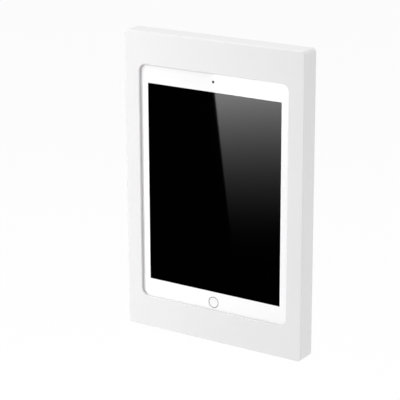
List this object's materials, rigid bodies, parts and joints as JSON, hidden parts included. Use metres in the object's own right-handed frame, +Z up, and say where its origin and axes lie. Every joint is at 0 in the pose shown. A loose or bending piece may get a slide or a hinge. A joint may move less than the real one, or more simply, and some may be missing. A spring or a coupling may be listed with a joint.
{
  "type": "tablet wall mount",
  "caption": "Flat rounded wall frame that holds a portrait tablet: wall plate with corner holders and a pull-off cover whose window shows the screen and home button.",
  "frame": {"origin": "middle of the wall plate's back face, which lies on the wall, and centre of its four wall screw holes", "axes": "+X to the right seen from the room, +Y into the wall, +Z up"},
  "size_m": [0.198, 0.0205, 0.297],
  "materials": {
    "lacquered_aluminium": "satin",
    "window_foam": "matte",
    "nickel": "gloss",
    "zinc_steel": "satin",
    "liner_rubber": "matte",
    "black_plastic": "matte",
    "pad_rubber": "matte",
    "screw_steel": "satin",
    "silver_aluminium": "satin",
    "cover_glass": "gloss",
    "white_print": "gloss",
    "dark_display": "gloss",
    "white_cap": "gloss",
    "polished_steel": "polished",
    "camera_black": "gloss",
    "battery_foil": "satin",
    "board_green": "matte"
  },
  "bodies": {
    "base": {"wall_plate": "zinc_steel", "cable_grommet": "liner_rubber", "corner_holder_top_left": "black_plastic", "corner_holder_top_right": "black_plastic", "corner_holder_bottom_left": "black_plastic", "corner_holder_bottom_right": "black_plastic", "holder_pad_top_left": "pad_rubber", "holder_pad_top_right": "pad_rubber", "holder_pad_bottom_left": "pad_rubber", "holder_pad_bottom_right": "pad_rubber", "holder_screws": "screw_steel", "tablet_shell": "silver_aluminium", "tablet_glass": "cover_glass", "bezel_mask": "white_print", "display_panel": "dark_display", "home_switch": "polished_steel", "front_camera": "camera_black", "rear_camera": "camera_black", "charging_socket": "polished_steel", "headphone_jack": "black_plastic", "speaker_left": "black_plastic", "speaker_right": "black_plastic", "battery_cell_left": "battery_foil", "battery_cell_right": "battery_foil", "logic_board": "board_green", "board_shield": "polished_steel"},
    "cover": {"cover_frame": "lacquered_aluminium", "window_gasket": "window_foam", "magnet_top_left": "nickel", "magnet_top_right": "nickel", "magnet_bottom_left": "nickel", "magnet_bottom_right": "nickel"},
    "home_button": {"home_button": "white_cap", "home_button_ring": "polished_steel"},
    "power_button": {"power_button": "silver_aluminium"},
    "volume_up_button": {"volume_up_button": "silver_aluminium"},
    "volume_down_button": {"volume_down_button": "silver_aluminium"}
  },
  "joints": [
    {"name": "cover_pull", "type": "slide", "parent": "base", "child": "cover", "axis": [0, -1, 0], "range_m": [0, 0.06]},
    {"name": "home_button_press", "type": "slide", "parent": "base", "child": "home_button", "axis": [0, 1, 0], "range_m": [0, 0.0003], "stiffness_N_per_m": 3000, "springref_m": -0.0002},
    {"name": "power_button_press", "type": "slide", "parent": "base", "child": "power_button", "axis": [0, 0, -1], "range_m": [0, 0.0003], "stiffness_N_per_m": 3000, "springref_m": -0.0002},
    {"name": "volume_up_press", "type": "slide", "parent": "base", "child": "volume_up_button", "axis": [-1, 0, 0], "range_m": [0, 0.0003], "stiffness_N_per_m": 3000, "springref_m": -0.0002},
    {"name": "volume_down_press", "type": "slide", "parent": "base", "child": "volume_down_button", "axis": [-1, 0, 0], "range_m": [0, 0.0003], "stiffness_N_per_m": 3000, "springref_m": -0.0002}
  ]
}
